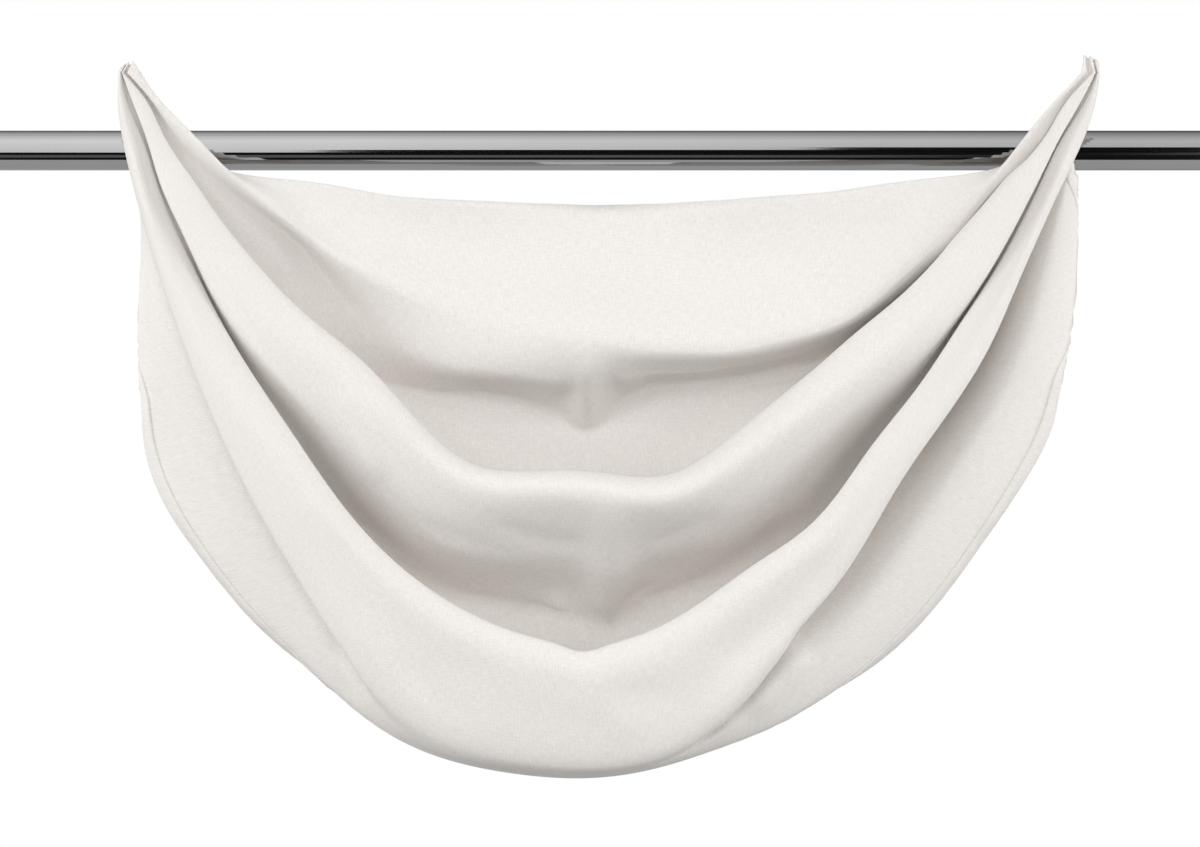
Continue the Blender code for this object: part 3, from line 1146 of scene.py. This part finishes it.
@dataclass
class Studio:
    """A pale floor, soft light from all round, and a tent and cards for the rod's polish."""

    floor_height: float = -2.1
    floor_half: float = 20.0
    floor_colour: Colour = (0.45, 0.45, 0.445)
    floor_clouds: float = 0.4
    floor_roughness: tuple[float, float] = (0.7, 0.9)
    backdrop: float = 1.0
    room_glow: float = 0.70
    room_colour: Colour = (1.0, 0.995, 0.985)
    box_colour: Colour = (0.965, 0.985, 1.0)
    aim: tuple[float, float, float] = (0.0, -0.05, -0.3)
    target: tuple[float, float, float] = (-0.007, -0.045, -0.2745)
    distance: float = 8.0
    lens: float = 240.0
    sensor: float = 36.0
    clip: tuple[float, float] = (0.1, 100.0)
    tent_sides: int = 48
    tent_radius: float = 1.7
    tent_half: float = 3.0
    tent_glow: float = 1.45
    tent_fade: float = 0.31
    fade_across: tuple[float, float] = (-0.33, 0.57)
    fade_up: tuple[float, float] = (-1.3, -0.9)
    card_radius: float = 1.5
    card_half: float = 0.75
    card_steps: int = 8
    card_colour: Colour = (0.012, 0.012, 0.012)

    # How bright the tent is round the rod, from the back, below, in front and above to the back.
    TENT_STOPS = (
        (0.00, 0.22), (0.10, 0.40), (0.31, 0.44), (0.345, 0.44), (0.39, 0.12), (0.44, 0.12),
        (0.47, 0.80), (0.50, 0.86), (0.66, 1.00), (0.733, 0.77), (0.777, 0.60), (0.83, 0.45),
        (0.90, 0.13), (0.95, 0.07), (1.00, 0.13),
    )
    CARDS = (
        Card("card_upper", (-15.5, -32.0), (21.5, -20.0)),
        Card("card_lower", (-43.0, -61.0), (-33.0, -61.0)),
    )
    SOFTBOXES = (
        Softbox("front_light", (0.0, -3.2, 0.3), (1.2, 1.0), 19.5),
        Softbox("front_left_light", (-1.8, -2.6, 0.5), (1.2, 1.2), 13.5),
        Softbox("front_right_light", (1.8, -2.6, 0.5), (1.2, 1.2), 6.0),
        Softbox("left_light", (-2.8, -1.2, 0.2), (1.2, 1.6), 39.0),
        Softbox("right_light", (2.8, -1.2, 0.2), (1.2, 1.6), 42.0),
    )

    def world(self) -> None:
        """Light the room evenly, and make it white where it is seen."""
        world = bpy.data.worlds.new("studio")
        bpy.context.scene.world = world
        world.use_nodes = True
        board = NodeBoard(world.node_tree)
        light = board.add("ShaderNodeBackground", {}, {
            "Color": (*self.room_colour, 1.0), "Strength": self.room_glow,
        })
        seen = board.add("ShaderNodeBackground", {}, {
            "Color": (1.0, 1.0, 1.0, 1.0), "Strength": self.backdrop,
        })
        ray = board.add("ShaderNodeLightPath", {}, {}, "Is Camera Ray")
        mixed = board.add("ShaderNodeMixShader", {}, {0: ray, 1: light, 2: seen})
        board.add("ShaderNodeOutputWorld", {}, {"Surface": mixed})

    def floor(self) -> bpy.types.Object:
        """Lay the floor.

        Returns:
            The floor.
        """
        deselect_all()
        bpy.ops.mesh.primitive_plane_add(size=2 * self.floor_half,
                                         location=(0.0, 0.0, self.floor_height))
        floor = bpy.context.object
        floor.name = "floor"
        bpy.ops.object.transform_apply(location=True, rotation=True, scale=True)
        material, board = new_material("pale_floor")
        place = board.add("ShaderNodeTexCoord", {}, {}, "Object")
        clouds = board.add("ShaderNodeTexNoise", {}, {"Vector": place, "Scale": self.floor_clouds})
        smooth, rough = self.floor_roughness
        board.coat("ShaderNodeBsdfPrincipled", {
            "Base Color": (*self.floor_colour, 1.0),
            "Roughness": smooth + clouds * (rough - smooth),
        })
        floor.data.materials.append(material)
        return floor

    @staticmethod
    def for_polish_only(thing: bpy.types.Object) -> None:
        """Let an object show in reflections alone.

        Args:
            thing: the object.
        """
        thing.visible_camera = False
        thing.visible_diffuse = False
        thing.visible_shadow = False
        thing.visible_transmission = False

    def tent(self) -> bpy.types.Object:
        """Wrap a light tent round the rod's axis, to be seen in its polish.

        Returns:
            The tent.
        """
        deselect_all()
        bpy.ops.mesh.primitive_cylinder_add(
            vertices=self.tent_sides, radius=self.tent_radius, depth=2 * self.tent_half,
            end_fill_type="NOTHING", rotation=(0.0, math.radians(90), 0.0),
        )
        tent = bpy.context.object
        tent.name = "tent"
        bpy.ops.object.transform_apply(location=True, rotation=True, scale=True)
        material, board = new_material("tent_light")
        place = board.add("ShaderNodeTexCoord", {}, {}, "Object")
        across, up = board.axis(place, "X"), board.axis(place, "Z")
        turn = up.maths("ARCTAN2", up, board.axis(place, "Y") * -1.0) * (0.5 / math.pi) + 0.5
        stops = tuple((place, (level, level, level)) for place, level in self.TENT_STOPS)
        ring = board.add("ShaderNodeValToRGB", {"stops": stops}, {"Fac": turn})
        to_right = board.add("ShaderNodeMapRange", {}, {
            "Value": across, "From Min": self.fade_across[0], "From Max": self.fade_across[1],
        })
        raised = board.add("ShaderNodeMapRange", {}, {
            "Value": up, "From Min": self.fade_up[0], "From Max": self.fade_up[1],
        })
        glow = (1.0 - to_right * raised * self.tent_fade) * self.tent_glow
        lit = board.add("ShaderNodeVectorMath", {"operation": "SCALE"}, {0: ring, "Scale": glow})
        board.coat("ShaderNodeEmission", {"Color": lit})
        tent.data.materials.append(material)
        self.for_polish_only(tent)
        return tent

    def card(self, card: Card) -> bpy.types.Object:
        """Hang a dark card, bent round the rod's axis.

        Args:
            card: its name and its edges.

        Returns:
            The card.
        """
        verts = []
        for i in range(self.card_steps + 1):
            for half, (top, bottom) in ((-self.card_half, card.left), (self.card_half, card.right)):
                turn = math.radians(top + (bottom - top) * i / self.card_steps)
                verts.append((half, -self.card_radius * math.cos(turn),
                              self.card_radius * math.sin(turn)))
        faces = [(2 * i, 2 * i + 1, 2 * i + 3, 2 * i + 2) for i in range(self.card_steps)]
        mesh = bpy.data.meshes.new(card.name)
        mesh.from_pydata(verts, [], faces)
        thing = place_object(card.name, mesh)
        material, board = new_material(card.name)
        board.coat("ShaderNodeBsdfDiffuse", {"Color": (*self.card_colour, 1.0)})
        mesh.materials.append(material)
        self.for_polish_only(thing)
        return thing

    def softbox(self, box: Softbox) -> bpy.types.Object:
        """Hang a soft light that faces the swag.

        Args:
            box: its name, place, size and power.

        Returns:
            The light.
        """
        light = bpy.data.lights.new(box.name, "AREA")
        light.shape, light.size, light.size_y = "RECTANGLE", *box.size
        light.energy = box.power
        light.color = self.box_colour
        thing = place_object(box.name, light)
        thing.location = box.place
        way = Vector(self.aim) - Vector(box.place)
        thing.rotation_euler = way.to_track_quat("-Z", "Y").to_euler()
        thing.visible_glossy = False
        return thing

    def camera(self) -> bpy.types.Object:
        """Set the camera straight in front of the swag.

        Returns:
            The camera.
        """
        data = bpy.data.cameras.new("camera")
        data.sensor_width, data.lens = self.sensor, self.lens
        data.clip_start, data.clip_end = self.clip
        camera = place_object("camera", data)
        camera.location = Vector(self.target) - Vector((0.0, self.distance, 0.0))
        camera.rotation_euler = Euler((math.radians(90), 0.0, 0.0))
        bpy.context.scene.camera = camera
        return camera

    def build(self) -> None:
        """Set up the camera, the floor and the lights."""
        scene = bpy.context.scene
        scene.view_settings.view_transform = "Standard"
        scene.view_settings.look = "None"
        self.camera()
        self.world()
        self.floor()
        self.tent()
        for card in self.CARDS:
            self.card(card)
        for box in self.SOFTBOXES:
            self.softbox(box)


# --------------------------------------------------------------------------- small tools


def deselect_all() -> None:
    """Deselect every object."""
    for thing in bpy.context.selected_objects:
        thing.select_set(False)


def place_object(name: str, data: Any) -> bpy.types.Object:
    """Put new data in the scene.

    Args:
        name: the object's name.
        data: its mesh, light or camera.

    Returns:
        The object.
    """
    thing = bpy.data.objects.new(name, data)
    bpy.context.scene.collection.objects.link(thing)
    return thing


def apply_modifiers(thing: bpy.types.Object) -> None:
    """Apply all of an object's modifiers, in order.

    Args:
        thing: the object.
    """
    deselect_all()
    thing.select_set(True)
    bpy.context.view_layer.objects.active = thing
    for modifier in list(thing.modifiers):
        bpy.ops.object.modifier_apply(modifier=modifier.name)
    thing.select_set(False)


def report(pieces: Iterable[bpy.types.Object]) -> None:
    """Log each piece's name and how many triangles it has.

    Args:
        pieces: the pieces to report.
    """
    for piece in pieces:
        triangles = sum(len(face.vertices) - 2 for face in piece.data.polygons)
        LOG.info("%s: %d triangles", piece.name, triangles)


def main() -> None:
    """Build the studio, the rod and the swag, in that order."""
    logging.basicConfig(level=logging.INFO, format="%(name)s: %(message)s")
    Studio().build()
    rod = CurtainRod().dress(SteelFinish())
    swag = SwagCloth()
    cloth, sheet = swag.build()
    sewing = HemStitches()
    stitches = sewing.build(sheet, swag.seam_row(), swag.thickness)
    sewing.dress(stitches, ThreadFinish())
    swag.dress(cloth, CottonFinish(), [stitches])
    report([rod, cloth, stitches])


if __name__ == "__main__":
    main()
